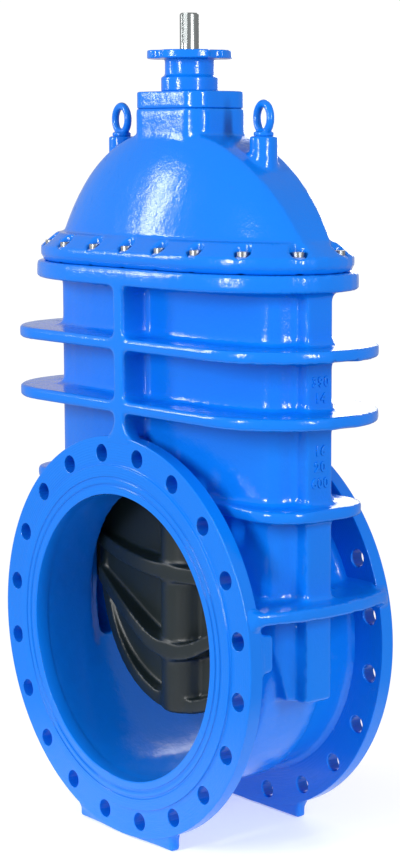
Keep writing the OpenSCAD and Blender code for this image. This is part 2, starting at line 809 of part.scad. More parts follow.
// disc through the point z0 under the stem and through z1 at the wedge's edge
module sag_disc(z0, z1) {
    r = (wedge_r * wedge_r + (z1 - z0) * (z1 - z0)) / (2 * (z1 - z0));
    translate([0, z0 + r]) circle(r, $fn = 180);
}

// outline of the wedge across the pipe, about its own centre
module wedge_outline() {
    circle(wedge_r, $fn = 180);
    translate([-wedge_r, 0]) square([2 * wedge_r, wedge_side_h]);
    intersection() {
        translate([0, wedge_crown_h - wedge_crown_r]) circle(wedge_crown_r);
        translate([-wedge_r, 0]) square([2 * wedge_r, wedge_crown_h + over]);
    }
}

// outline of the sealing rim, up to the top of the wedge's straight sides
module wedge_rim() {
    inner_r = wedge_r - rim_w;
    difference() {
        wedge_outline();
        circle(inner_r, $fn = 180);
        translate([-inner_r, 0]) square([2 * inner_r, wedge_r]);
        translate([-bore_r, wedge_side_h - over]) square([2 * bore_r, wedge_r]);
    }
}

// line of the middle band with its lowest point at z: a round bend with straight sides
function bend_line(z) =
    let (
        a = mid_band_slope,
        turn_x = mid_band_r * sin(a),
        turn_z = z + mid_band_r * (1 - cos(a)),
        end_z = turn_z + (wedge_r - turn_x) * tan(a))
    concat(
        [[-wedge_r, end_z]],
        arc([0, z + mid_band_r], mid_band_r, -90 - a, -90 + a, 24),
        [[wedge_r, end_z]]);

// the bands: the middle one bends under the column, the upper one sags
module wedge_bands() {
    half_w = wedge_r - rim_w / 2;
    foot = bend_line(-mid_band_drop);
    top = bend_line(wedge_band_h - mid_band_drop);
    intersection() {
        union() {
            polygon(concat(foot, [for (i = [len(top) - 1:-1:0]) top[i]]));
            difference() {
                sag_disc(-top_band_drop, top_band_rise - top_band_drop);
                sag_disc(wedge_band_h - top_band_drop, wedge_band_h + top_band_rise - top_band_drop);
            }
        }
        square([2 * half_w, 2 * wedge_r], center = true);
        circle(wedge_r, $fn = 180);
    }
}

module wedge() {
    reach = band_mid_half_t + over;
    color("#2a2d2e") translate([0, 0, wedge_z]) difference() {
        union() {
            across(-wedge_web_half_t, wedge_web_half_t) wedge_outline();
            intersection() {
                across(-reach, reach) wedge_rim();
                slab(-wedge_r - over, wedge_crown_h)
                    lens_plan(wedge_r, rim_mid_half_t, rim_end_half_t);
            }
            intersection() {
                across(-reach, reach) wedge_bands();
                slab(-wedge_r - over, wedge_crown_h)
                    lens_plan(wedge_r, band_mid_half_t, band_end_half_t);
            }
            intersection() {
                slab(-wedge_r, column_h) circle(column_r);
                across(-reach, reach) union() {
                    circle(wedge_r, $fn = 180);
                    translate([-column_r, 0]) square([2 * column_r, column_h]);
                }
            }
            slab(0, nut_top_h) circle(nut_housing_r);
        }
        slab(screw_room - wedge_r, nut_top_h + over) circle(d = screw_d + 2 * screw_gap);
        slab(nut_top_h - nut_h, nut_top_h + over) circle(d = nut_d);
    }
}

module stem_nut() {
    color("#b08d3c") stem_ring(screw_d / 2 + stem_gap, nut_d / 2, nut_top_z - nut_h, nut_top_z);
}

module guide_shoe() {
    translate([wedge_r, -shoe_half_w, wedge_z + wedge_side_h - shoe_len])
        cube([rail_top_x - shoe_gap - wedge_r, 2 * shoe_half_w, shoe_len]);
}

module guide_shoe_left() {
    color("#3a3a3a") mirror([1, 0, 0]) guide_shoe();
}

module guide_shoe_right() {
    color("#3a3a3a") guide_shoe();
}

module lifting_eye(x, turn) {
    wire_r = eye_wire_d / 2;
    ring_r = eye_d / 2 - wire_r;
    color("#1565e8") translate([x, 0, eye_boss_z]) rotate(turn) {
        translate([0, 0, eye_d / 2]) rotate([90, 0, 0])
            rotate_extrude() translate([ring_r, 0]) circle(wire_r);
        cylinder(d = eye_collar_d, h = eye_collar_h);
        translate([0, 0, -eye_thread_len]) cylinder(d = eye_thread_d, h = eye_thread_len + over);
    }
}

module lifting_eye_left() {
    lifting_eye(-eye_x, eye_turn_left);
}

module lifting_eye_right() {
    lifting_eye(eye_x, eye_turn_right);
}

body();
bonnet();
bonnet_gasket();
back_seal();
bearing_cover();
cover_gasket();
top_flange();
housing_gasket();
thrust_washer_lower();
thrust_washer_upper();
seal_bush();
seal_rings();
wiper_ring();
stem();
wedge();
stem_nut();
guide_shoe_left();
guide_shoe_right();
lifting_eye_left();
lifting_eye_right();
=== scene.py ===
"""A large flanged gate valve of epoxy coated iron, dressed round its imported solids. Metres, Z up."""
import math

import bmesh
import bpy
import numpy as np
import openvdb
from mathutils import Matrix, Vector


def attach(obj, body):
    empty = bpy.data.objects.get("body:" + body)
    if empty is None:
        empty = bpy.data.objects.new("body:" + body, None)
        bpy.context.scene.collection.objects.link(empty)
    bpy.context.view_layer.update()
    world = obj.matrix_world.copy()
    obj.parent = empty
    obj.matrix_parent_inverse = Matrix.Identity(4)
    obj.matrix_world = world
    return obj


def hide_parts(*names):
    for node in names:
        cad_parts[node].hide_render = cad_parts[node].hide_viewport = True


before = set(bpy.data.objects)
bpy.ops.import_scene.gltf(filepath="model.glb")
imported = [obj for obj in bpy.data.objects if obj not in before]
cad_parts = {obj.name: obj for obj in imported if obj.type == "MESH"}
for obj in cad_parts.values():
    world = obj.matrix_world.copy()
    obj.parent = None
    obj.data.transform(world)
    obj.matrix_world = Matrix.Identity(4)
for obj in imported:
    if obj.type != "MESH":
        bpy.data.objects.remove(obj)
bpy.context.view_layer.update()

# ---- Studio: a pale floor that runs into a white surround -------------------
# The viewpoint stands to the right of the shown pipe flange. Tall strips of
# light face that flange, the dome and the valve's end, and a broad one its back.
VIEW_AZIMUTH = math.radians(49.69)
VIEW_ELEVATION = math.radians(7.78)
VIEW_DISTANCE = 4.4856
VIEW_SIDE = 0.1446
VIEW_HEIGHT = 0.8417
VIEW_LENS = 89.48
VIEW_SHIFT = -0.0699
SENSOR_WIDTH = 36

to_camera = Vector((
    math.sin(VIEW_AZIMUTH) * math.cos(VIEW_ELEVATION),
    -math.cos(VIEW_AZIMUTH) * math.cos(VIEW_ELEVATION),
    math.sin(VIEW_ELEVATION),
))
to_right = Vector((math.cos(VIEW_AZIMUTH), math.sin(VIEW_AZIMUTH), 0))
camera = bpy.data.objects.new("camera", bpy.data.cameras.new("camera"))
camera.data.lens = VIEW_LENS
camera.data.sensor_width = SENSOR_WIDTH
camera.data.shift_x = VIEW_SHIFT
camera.location = to_right * VIEW_SIDE + Vector((0, 0, VIEW_HEIGHT)) + to_camera * VIEW_DISTANCE
camera.rotation_mode = "QUATERNION"
camera.rotation_quaternion = (-to_camera).to_track_quat("-Z", "Y")
bpy.context.scene.collection.objects.link(camera)
bpy.context.scene.camera = camera
bpy.context.scene.view_settings.view_transform = "Standard"


def linear(hex_colour):
    """An sRGB hex colour as linear red, green, blue and a full alpha."""
    channels = [int(hex_colour[i:i + 2], 16) / 255 for i in (1, 3, 5)]
    return tuple(c / 12.92 if c <= 0.04045 else ((c + 0.055) / 1.055) ** 2.4 for c in channels) + (1,)


def add(tree, kind, inputs=None, **settings):
    """Adds a node with its settings. Inputs go by name or number, and one that is a socket is linked."""
    node = tree.nodes.new(kind)
    for name, value in settings.items():
        setattr(node, name, value)
    for name, value in (inputs or {}).items():
        if isinstance(value, bpy.types.NodeSocket):
            tree.links.new(value, node.inputs[name])
        else:
            node.inputs[name].default_value = value
    return node


def new_material(name):
    """An empty node material and its tree."""
    material = bpy.data.materials.new(name)
    material.use_nodes = True
    material.node_tree.nodes.clear()
    return material, material.node_tree


def strip_light(name, place, width, height, power):
    """A tall strip of light that faces the middle of the valve."""
    light = bpy.data.objects.new(name, bpy.data.lights.new(name, "AREA"))
    light.data.shape = "RECTANGLE"
    light.data.size = width
    light.data.size_y = height
    light.data.energy = power
    light.location = place
    light.rotation_mode = "QUATERNION"
    light.rotation_quaternion = (Vector((0, 0, VIEW_HEIGHT)) - Vector(place)).to_track_quat("-Z", "Y")
    bpy.context.scene.collection.objects.link(light)


strip_light("light_front", place=(0.2, -3.6, 1.9), width=0.28, height=1.7, power=94)
strip_light("light_dome", place=(-2.63, -2.37, 2.3), width=0.36, height=1.6, power=46)
strip_light("light_end", place=(3.6, -0.3, 2.0), width=0.22, height=1.7, power=86)
strip_light("light_back", place=(-2.4, 3.2, 2.2), width=1.2, height=2.0, power=30)

# A white backdrop, which lights the valve only from behind: the room is dim.
ROOM_FILL = 0.45
BACKDROP_GLOW = 0.66
BACKDROP_WHITE = 1.05
BACKDROP_EDGE = 0.91
BACKDROP_CORE = 0.966
sky = bpy.data.worlds.new("white_backdrop_in_dim_room")
sky.use_nodes = True
tree = sky.node_tree
toward = add(tree, "ShaderNodeTexCoord").outputs["Generated"]
behind = add(tree, "ShaderNodeVectorMath", {0: toward, 1: tuple(-to_camera)}, operation="DOT_PRODUCT")
backdrop = add(tree, "ShaderNodeMapRange", {
    "Value": behind.outputs["Value"], "From Min": BACKDROP_EDGE, "From Max": BACKDROP_CORE,
    "To Min": ROOM_FILL, "To Max": BACKDROP_GLOW,
}, interpolation_type="SMOOTHSTEP")
seen = add(tree, "ShaderNodeMix", {
    "Factor": add(tree, "ShaderNodeLightPath").outputs["Is Camera Ray"],
    "A": backdrop.outputs[0], "B": BACKDROP_WHITE,
})
tree.links.new(seen.outputs[0], tree.nodes["Background"].inputs["Strength"])
tree.nodes["Background"].inputs["Color"].default_value = linear("#ffffff")
bpy.context.scene.world = sky

# The floor glows a little, and melts into the backdrop round the valve.
FLOOR_RADIUS = 1.2
FLOOR_GLOW = 0.35
MELT_START = 0.55
MELT_END = 1.15
floor_material, tree = new_material("matt_white_studio_floor")
place = add(tree, "ShaderNodeTexCoord").outputs["Object"]
distance = add(tree, "ShaderNodeVectorMath", {0: place}, operation="LENGTH")
melt = add(tree, "ShaderNodeMapRange", {
    "Value": distance.outputs["Value"], "From Min": MELT_START, "From Max": MELT_END,
}, interpolation_type="SMOOTHSTEP")
lit_floor = add(tree, "ShaderNodeBsdfPrincipled", {
    "Base Color": linear("#f6f6f6"), "Roughness": 0.9,
    "Emission Color": linear("#ffffff"), "Emission Strength": FLOOR_GLOW,
})
clear = add(tree, "ShaderNodeBsdfTransparent")
floor_shader = add(tree, "ShaderNodeMixShader", {
    0: melt.outputs[0], 1: lit_floor.outputs[0], 2: clear.outputs[0],
})
add(tree, "ShaderNodeOutputMaterial", {"Surface": floor_shader.outputs[0]})
bpy.ops.mesh.primitive_circle_add(vertices=96, radius=FLOOR_RADIUS, fill_type="NGON")
floor = bpy.context.object
floor.name = "studio_floor"
floor.data.materials.append(floor_material)

# ---- Body: one ductile iron casting -----------------------------------------
# Two pipe flanges, the barrel, the oval neck and its ribs, sand cast in one
# piece, with soft roots and worn-down edges under a thick coat of blue epoxy.
BODY_VOXEL = 0.004
BODY_ROOT = 0.010
BODY_EDGE = 0.0030
BODY_FLATNESS = 0.03
PIPE_AXIS = 0.422
SEAL_FACE = 0.195
EPOXY_BLUE = "#0876e2"
EPOXY_DEEP = "#0870da"
TINT_PATCHES = 0.25
ORANGE_PEEL = 0.006
PEEL_DEPTH = 0.00036
SAND_WAVES = 0.045
WAVE_DEPTH = 0.0012
TURNED_PITCH = 0.0055
TURNED_DEPTH = 0.00012


def blue_epoxy(name, turned):
    """Fusion bonded epoxy over cast iron: deep glossy blue with orange peel over the sand's
    waves, or with fainter peel under the fine rings of a turned face."""
    material, tree = new_material(name)
    point = add(tree, "ShaderNodeTexCoord").outputs["Object"]
    peel = add(tree, "ShaderNodeTexNoise", {"Vector": point, "Scale": 1 / ORANGE_PEEL}).outputs["Fac"]
    patches = add(tree, "ShaderNodeTexNoise", {"Vector": point, "Scale": 1 / TINT_PATCHES}).outputs["Fac"]
    if turned:
        spot = add(tree, "ShaderNodeMapping", {
            "Vector": point, "Location": (0, 0, -PIPE_AXIS), "Scale": (1, 0, 1),
        })
        radius = add(tree, "ShaderNodeVectorMath", {0: spot.outputs[0]}, operation="LENGTH")
        angle = add(tree, "ShaderNodeMath", {
            0: radius.outputs["Value"], 1: 2 * math.pi / TURNED_PITCH,
        }, operation="MULTIPLY")
        rings = add(tree, "ShaderNodeMath", {0: angle.outputs[0]}, operation="SINE")
        under, under_depth = peel, TURNED_DEPTH
        over, over_depth = rings.outputs[0], TURNED_DEPTH
    else:
        waves = add(tree, "ShaderNodeTexNoise", {"Vector": point, "Scale": 1 / SAND_WAVES})
        under, under_depth = waves.outputs["Fac"], WAVE_DEPTH
        over, over_depth = peel, PEEL_DEPTH
    under_normal = add(tree, "ShaderNodeBump", {"Height": under, "Strength": 1.0, "Distance": under_depth})
    normal = add(tree, "ShaderNodeBump", {
        "Height": over, "Strength": 1.0, "Distance": over_depth, "Normal": under_normal.outputs["Normal"],
    })
    tint = add(tree, "ShaderNodeMix", {
        "Factor": patches, 6: linear(EPOXY_BLUE), 7: linear(EPOXY_DEEP),
    }, data_type="RGBA")
    gloss = add(tree, "ShaderNodeMapRange", {"Value": peel, "To Min": 0.11, "To Max": 0.2})
    shader = add(tree, "ShaderNodeBsdfPrincipled", {
        "Base Color": tint.outputs[2], "Roughness": gloss.outputs[0], "IOR": 1.4,
        "Normal": normal.outputs["Normal"],
    })
    add(tree, "ShaderNodeOutputMaterial", {"Surface": shader.outputs[0]})
    return material


epoxy_as_cast = blue_epoxy("blue_epoxy_on_sand_casting", turned=False)
epoxy_on_turned = blue_epoxy("blue_epoxy_on_turned_face", turned=True)


def solid_of(node):
    """Points and triangles of a CAD node, with the doubled points merged."""
    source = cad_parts[node].data
    points = np.empty(len(source.vertices) * 3, np.float32)
    source.vertices.foreach_get("co", points)
    source.calc_loop_triangles()
    corners = np.empty(len(source.loop_triangles) * 3, np.int32)
    source.loop_triangles.foreach_get("vertices", corners)
    places, merged = np.unique(np.round(points.reshape(-1, 3), 5), axis=0, return_inverse=True)
    return places.astype(np.float32), merged.reshape(-1)[corners].reshape(-1, 3).astype(np.uint32)


def cast_skin(node, voxel, root, edge, flatness):
    """A casting's skin: its roots filled to the radius root and its edges rounded to edge.
    Flatness is how far flat places are made of larger faces."""
    points, triangles = solid_of(node)
    low, high = points.min(0), points.max(0)
    quads = np.zeros((0, 4), np.uint32)
    grid_step = openvdb.createLinearTransform(voxelSize=voxel)
    spare_voxels = 3
    for offset in (root, -root - edge, edge):
        level_set = openvdb.FloatGrid.createLevelSetFromPolygons(
            points, triangles=triangles, quads=quads, transform=grid_step,
            halfWidth=abs(offset) / voxel + spare_voxels)
        points, triangles, quads = level_set.convertToPolygons(
            isovalue=offset, adaptivity=flatness if offset == edge else 0)
    # The grid's faces point inwards, so each is turned round.
    return np.clip(points, low, high), triangles[:, ::-1].tolist() + quads[:, ::-1].tolist()


def finished(name, mesh, modifiers, materials):
    """An object with its modifiers baked into a plain, smooth mesh."""
    piece = bpy.data.objects.new(name, mesh)
    bpy.context.scene.collection.objects.link(piece)
    for material in materials:
        mesh.materials.append(material)
    for kind, settings in modifiers:
        modifier = piece.modifiers.new(kind.lower(), kind)
        for key, value in settings.items():
            setattr(modifier, key, value)
    baked = bpy.data.meshes.new_from_object(piece.evaluated_get(bpy.context.evaluated_depsgraph_get()))
    piece.modifiers.clear()
    piece.data = baked
    baked.name = name
    return piece


def smooth_mesh(name, points, faces):
    """A smooth-shaded mesh of points and faces."""
    mesh = bpy.data.meshes.new(name)
    mesh.from_pydata(points.tolist(), [], faces)
    mesh.polygons.foreach_set("use_smooth", [True] * len(mesh.polygons))
    return mesh


AREA_NORMALS = ("WEIGHTED_NORMAL", {"mode": "FACE_AREA", "weight": 50})


def casting(name, node, voxel, root, edge, flatness, material):
    """A casting made from its CAD node, which it replaces."""
    points, faces = cast_skin(node, voxel, root, edge, flatness)
    return finished(name, smooth_mesh(name, points, faces), [AREA_NORMALS], [material])


# Sizes of a pipe flange, over which the body's skin is left to the turned pieces
BORE = 0.300
RAISED = 0.360
BOLT_CIRCLE = 0.385
BOLT_HOLE = 0.0185
RIM = 0.420
RAISED_STEP = 0.005
FLANGE_BACK = 0.036
BOLTS = 20
MOUTH = 0.030
HUB_ROOT = 0.030
TUCK = 0.0015
ON_FACE = 0.0011
BY_EDGE = 0.0035


def tucked_under_flanges(points, faces):
    """Pushes the skin that lies on a pipe flange's own faces into it, and leaves out what the
    turned pieces hide."""
    x, y, z = points.T
    inward = SEAL_FACE - np.abs(y)
    radius = np.hypot(x, z - PIPE_AXIS)
    angle = np.arctan2(x, z - PIPE_AXIS)
    pitch = 2 * math.pi / BOLTS
    hole_angle = (np.floor(angle / pitch) + 0.5) * pitch
    from_hole = np.hypot(x - BOLT_CIRCLE * np.sin(hole_angle),
                         z - PIPE_AXIS - BOLT_CIRCLE * np.cos(hole_angle))
    in_ring = (radius > BORE - ON_FACE) & (radius < RIM + ON_FACE) & (inward < FLANGE_BACK + ON_FACE)
    front = np.where(radius < RAISED, 0, RAISED_STEP)
    on_front = in_ring & (inward < front + BY_EDGE)
    on_back = in_ring & (np.abs(inward - FLANGE_BACK) < ON_FACE) & (radius > BORE + HUB_ROOT)
    on_rim = in_ring & (radius > RIM - BY_EDGE)
    on_bore = in_ring & (radius < BORE + BY_EDGE) & (inward < MOUTH)
    in_hole = in_ring & (from_hole < BOLT_HOLE + BY_EDGE)
    pushed = points.copy()
    side = np.sign(y)
    pushed[on_front, 1] -= side[on_front] * TUCK
    pushed[on_back, 1] += side[on_back] * TUCK
    for where, by in ((on_rim, -TUCK), (on_bore, TUCK)):
        pushed[where, 0] += by * (x / radius)[where]
        pushed[where, 2] += by * ((z - PIPE_AXIS) / radius)[where]
    hidden = on_front | on_back | on_rim | on_bore | in_hole
    return pushed, [face for face in faces if not all(hidden[index] for index in face)]


points, faces = tucked_under_flanges(*cast_skin("body", BODY_VOXEL, BODY_ROOT, BODY_EDGE, BODY_FLATNESS))
body = finished("body_casting", smooth_mesh("body_casting", points, faces), [AREA_NORMALS], [epoxy_as_cast])
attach(body, "valve")
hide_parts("body")

# ---- Pipe flanges: the turned and drilled faces of the body -----------------
# Each flange is faced, grooved and bored on a lathe and drilled with twenty
# holes. Their edges are only just broken, and the epoxy covers them all.
GROOVES = (0.319, 0.334)
GROOVE_WIDTH = 0.005
GROOVE_DEPTH = 0.0022
GROOVE_LIP = 0.0011
BROKEN_EDGE = 0.0018
RIM_EDGE = 0.0025
DRILLED_FROM = 0.3635
DRILLED_TO = 0.4075
HUB_LAND = 0.015
MOUTH_LINE = 0.012
WEB_STEPS = 9


def edge_arc(r, t, radius, start, turn):
    """Points round an edge of a turned profile, about its centre (r, t), in four steps."""
    steps = [math.radians(start + turn * i / 4) for i in range(5)]
    return [(r + radius * math.cos(a), t + radius * math.sin(a)) for a in steps]


def at_angle(radius, degrees):
    """A point across and up from the pipe's axis."""
    return radius * math.sin(math.radians(degrees)), radius * math.cos(math.radians(degrees))


def flange_facing(side):
    """The machined skin of a pipe flange as quads of (across, inward, up) points."""
    quads = []

    def sweep(lines):
        for first, second in zip(lines, lines[1:]):
            quads.extend([first[i], first[i + 1], second[i + 1], second[i]] for i in range(len(first) - 1))

    def turned(profile):
        sweep([[(r * math.sin(math.radians(a)), t, r * math.cos(math.radians(a))) for a in range(361)]
               for r, t in profile])

    lip = BROKEN_EDGE
    half = GROOVE_WIDTH / 2
    face = [(BORE, MOUTH), (BORE, MOUTH_LINE)] + edge_arc(BORE + lip, lip, lip, 180, 90)
    for middle in GROOVES:
        inner, outer = middle - half, middle + half
        face += [(inner - GROOVE_LIP, 0), (inner, GROOVE_LIP), (inner, GROOVE_DEPTH),
                 (outer, GROOVE_DEPTH), (outer, GROOVE_LIP), (outer + GROOVE_LIP, 0)]
    face += edge_arc(RAISED - lip, lip, lip, -90, 90)
    face += [(RAISED, RAISED_STEP), (DRILLED_FROM, RAISED_STEP)]
    turned(face)
    rim = [(DRILLED_TO, RAISED_STEP)] + edge_arc(RIM - RIM_EDGE, RAISED_STEP + RIM_EDGE, RIM_EDGE, -90, 90)
    rim += edge_arc(RIM - RIM_EDGE, FLANGE_BACK - RIM_EDGE, RIM_EDGE, 0, 90) + [(DRILLED_TO, FLANGE_BACK)]
    turned(rim)
    turned([(DRILLED_FROM, FLANGE_BACK), (BORE + HUB_LAND, FLANGE_BACK)])

    # Round each hole, a patch of the drilled ring runs in from its border to the hole's wall.
    hole = edge_arc(BOLT_HOLE + lip, RAISED_STEP + lip, lip, -90, -90)
    hole += edge_arc(BOLT_HOLE + lip, FLANGE_BACK - lip, lip, 180, -90)
    half_pitch = 180 // BOLTS
    web = DRILLED_TO - DRILLED_FROM
    for bolt in range(BOLTS):
        middle = (2 * bolt + 1) * half_pitch
        left, right = middle - half_pitch, middle + half_pitch
        border = [(DRILLED_FROM, a) for a in range(left, right)]
        border += [(DRILLED_FROM + web * i / WEB_STEPS, right) for i in range(WEB_STEPS)]
        border += [(DRILLED_TO, a) for a in range(right, left, -1)]
        border += [(DRILLED_TO - web * i / WEB_STEPS, left) for i in range(WEB_STEPS + 1)]
        flat = [at_angle(r, a) for r, a in border]
        centre = at_angle(BOLT_CIRCLE, middle)
        rays = [math.atan2(v - centre[1], u - centre[0]) for u, v in flat]
        lines = [[(u, RAISED_STEP, v) for u, v in flat]]
        for r, t in hole:
            lines.append([(centre[0] + r * math.cos(a), t, centre[1] + r * math.sin(a)) for a in rays])
        lines += [[(u, FLANGE_BACK, v) for u, v in flat]]
        sweep(lines)

    corners = np.array(quads).reshape(-1, 3)
    places, merged = np.unique(np.round(corners, 6), axis=0, return_inverse=True)
    world = np.stack([places[:, 0], side * (SEAL_FACE - places[:, 1]), places[:, 2] + PIPE_AXIS], axis=1)
    shell = bmesh.new()
    made = [shell.verts.new(p) for p in world.tolist()]
    for quad in merged.reshape(-1, 4).tolist():
        if len(set(quad)) == 4:
            shell.faces.new([made[i] for i in quad]).smooth = True
    bmesh.ops.recalc_face_normals(shell, faces=shell.faces)
    outermost = max(shell.faces, key=lambda f: abs(f.calc_center_median().y))
    if outermost.normal.y * side < 0:
        bmesh.ops.reverse_faces(shell, faces=shell.faces)
    mesh = bpy.data.meshes.new("pipe_flange")
    shell.to_mesh(mesh)
    shell.free()
    return mesh


for side, name in ((-1, "pipe_flange_front"), (1, "pipe_flange_rear")):
    facing = finished(name, flange_facing(side), [AREA_NORMALS], [epoxy_on_turned])
    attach(facing, "valve")

# ---- Cast numbers: the body's plain sizes -----------------------------------
# Raised figures from the pattern, on the outer ends of the guide rail housings:
# length and its series above, pressure step, bolt count and bore below.
RAIL_END = 0.406
FIGURE_HEIGHT = 0.019
FIGURE_RELIEF = 0.0018
FIGURE_SOFTNESS = 0.0006
FONT_SIZE = FIGURE_HEIGHT * 1.4
FONT_SPACING = 1.15
NUMBER_ROWS = ((0.968, "390"), (0.936, "14"), (0.832, "16"), (0.800, "20"), (0.768, "600"))


def raised_number(text, place, along, outward):
    """Raised figures whose middle foot is at place, reading along one way and facing outward."""
    figures = bpy.data.curves.new("figures", "FONT")
    figures.body = text
    figures.size = FONT_SIZE
    figures.align_x = "CENTER"
    figures.space_character = FONT_SPACING
    figures.offset = FIGURE_SOFTNESS
    figures.extrude = FIGURE_RELIEF
    figures.bevel_depth = FIGURE_SOFTNESS
    carrier = bpy.data.objects.new("figures", figures)
    bpy.context.scene.collection.objects.link(carrier)
    mesh = bpy.data.meshes.new_from_object(carrier.evaluated_get(bpy.context.evaluated_depsgraph_get()))
    bpy.data.objects.remove(carrier)
    upward = Vector((0, 0, 1))
    for vertex in mesh.vertices:
        u, v, w = vertex.co
        vertex.co = Vector(place) + Vector(along) * u + upward * v + Vector(outward) * w
    return mesh


numbers = bmesh.new()
for end in (-1, 1):
    for height, text in NUMBER_ROWS:
        part = raised_number(text, (end * RAIL_END, 0, height), (0, end, 0), (end, 0, 0))
        numbers.from_mesh(part)
        bpy.data.meshes.remove(part)
number_mesh = bpy.data.meshes.new("cast_numbers")
numbers.to_mesh(number_mesh)
numbers.free()
cast_numbers = finished("cast_numbers", number_mesh, [], [epoxy_as_cast])
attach(cast_numbers, "valve")

# ---- Bonnet: the domed cover casting ----------------------------------------
# A second ductile iron casting, which is screwed to the body's oval flange and
# carries the bearing boss and the two lifting eyes' bosses.
bonnet = casting("bonnet_casting", "bonnet", voxel=0.003, root=0.0045, edge=0.0018, flatness=0.02,
                 material=epoxy_as_cast)
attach(bonnet, "valve")
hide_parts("bonnet")

# ---- Cover screws and their sealing wax -------------------------------------
# Eighteen socket head cap screws M16 hold the bonnet down. Each one sits in a
# deep round recess, whose bottom is sealed round the head with hot melt wax.
JOINT_HALF_LENGTH = 0.440
JOINT_HALF_WIDTH = 0.194
JOINT_SHOULDER = 0.362
JOINT_NOSE = 0.160
LINE_STEPS = 720
SCREW_EDGE = 0.029
SCREW_COUNT = 18
SCREW_SEAT = 1.215
SCREW_HEAD = 0.012
SCREW_HEAD_HEIGHT = 0.016
SCREW_KEY = 0.0081
ZINC_GREY = "#a3a7ab"
SPANGLE = 0.003
SPANGLE_DEPTH = 0.0001
WAX_RADIUS = 0.0165
WAX_FOOT = 0.0015
WAX_CROWN = 0.007
WAX_BLUE = "#2f70d8"
WAX_PALE = "#7d9fdc"
WAX_LUMP = 0.009
LUMP_DEPTH = 0.0018


def joint_line(setback, height):
    """Points at an even pitch round the joint flange, set back from its edge. They start half
    a screw's pitch from the nose."""
    nose, shoulder = JOINT_NOSE - setback, JOINT_SHOULDER - setback
    fall, reach = JOINT_SHOULDER - JOINT_HALF_WIDTH, JOINT_SHOULDER - JOINT_NOSE
    nose_x = JOINT_HALF_LENGTH - JOINT_NOSE
    shoulder_x = nose_x - math.sqrt(reach * reach - fall * fall)
    turn = math.atan2(fall, nose_x - shoulder_x)
    quarter = (nose * turn, shoulder * (math.pi / 2 - turn), shoulder_x)
    whole = 4 * sum(quarter)
    points = []
    for step in range(LINE_STEPS):
        s = (step / LINE_STEPS + 0.5 / SCREW_COUNT) % 1 * whole
        fold = s % (whole / 2)
        fold = min(fold, whole / 2 - fold)
        if fold < quarter[0]:
            x, y = nose_x + nose * math.cos(fold / nose), nose * math.sin(fold / nose)
        elif fold < quarter[0] + quarter[1]:
            a = turn + (fold - quarter[0]) / shoulder
            x, y = shoulder_x + shoulder * math.cos(a), shoulder * math.sin(a) - fall
        else:
            x, y = whole / 4 - fold, JOINT_HALF_WIDTH - setback
        side_x = 1 if (s + whole / 4) % whole < whole / 2 else -1
        side_y = 1 if s < whole / 2 else -1
        points.append((side_x * x, side_y * y, height))
    return points


def geometry_tree(name, sizes):
    """A geometry node tree with named inputs, and its group input and output."""
    tree = bpy.data.node_groups.new(name, "GeometryNodeTree")
    tree.interface.new_socket("Geometry", in_out="INPUT", socket_type="NodeSocketGeometry")
    for label, value in sizes.items():
        kind = {int: "NodeSocketInt", float: "NodeSocketFloat"}.get(type(value), "NodeSocketMaterial")
        tree.interface.new_socket(label, in_out="INPUT", socket_type=kind)
    tree.interface.new_socket("Geometry", in_out="OUTPUT", socket_type="NodeSocketGeometry")
    return tree, add(tree, "NodeGroupInput"), add(tree, "NodeGroupOutput")


def repeated(name, line, tree, sizes):
    """A plain mesh of what a tree sets along a closed line."""
    mesh = bpy.data.meshes.new(name)
    mesh.from_pydata(line, [(i, (i + 1) % len(line)) for i in range(len(line))], [])
    piece = bpy.data.objects.new(name, mesh)
    bpy.context.scene.collection.objects.link(piece)
    modifier = piece.modifiers.new("along_line", "NODES")
    modifier.node_group = tree
    for item in tree.interface.items_tree:
        if item.in_out == "INPUT" and item.name in sizes:
            modifier[item.identifier] = sizes[item.name]
    baked = bpy.data.meshes.new_from_object(piece.evaluated_get(bpy.context.evaluated_depsgraph_get()))
    piece.modifiers.clear()
    piece.data = baked
    return piece


# Zinc plate over steel: a bright grey metal, clouded by its crystals.
zinc, tree = new_material("zinc_plated_steel")
point = add(tree, "ShaderNodeTexCoord").outputs["Object"]
spangle = add(tree, "ShaderNodeTexNoise", {"Vector": point, "Scale": 1 / SPANGLE}).outputs["Fac"]
gloss = add(tree, "ShaderNodeMapRange", {"Value": spangle, "To Min": 0.25, "To Max": 0.4})
normal = add(tree, "ShaderNodeBump", {"Height": spangle, "Strength": 1.0, "Distance": SPANGLE_DEPTH})
shader = add(tree, "ShaderNodeBsdfPrincipled", {
    "Base Color": linear(ZINC_GREY), "Metallic": 1.0, "Roughness": gloss.outputs[0],
    "Normal": normal.outputs["Normal"],
})
add(tree, "ShaderNodeOutputMaterial", {"Surface": shader.outputs[0]})

# Hot melt wax: a glassy, lumpy skin that is grey blue over the coated iron.
wax, tree = new_material("hot_melt_sealing_wax")
point = add(tree, "ShaderNodeTexCoord").outputs["Object"]
lumps = add(tree, "ShaderNodeTexNoise", {
    "Vector": point, "Scale": 1 / WAX_LUMP, "Detail": 3.0,
}).outputs["Fac"]
tint = add(tree, "ShaderNodeMix", {
    "Factor": lumps, 6: linear(WAX_BLUE), 7: linear(WAX_PALE),
}, data_type="RGBA")
normal = add(tree, "ShaderNodeBump", {"Height": lumps, "Strength": 1.0, "Distance": LUMP_DEPTH})
shader = add(tree, "ShaderNodeBsdfPrincipled", {
    "Base Color": tint.outputs[2], "Roughness": 0.12, "IOR": 1.48, "Normal": normal.outputs["Normal"],
})
add(tree, "ShaderNodeOutputMaterial", {"Surface": shader.outputs[0]})

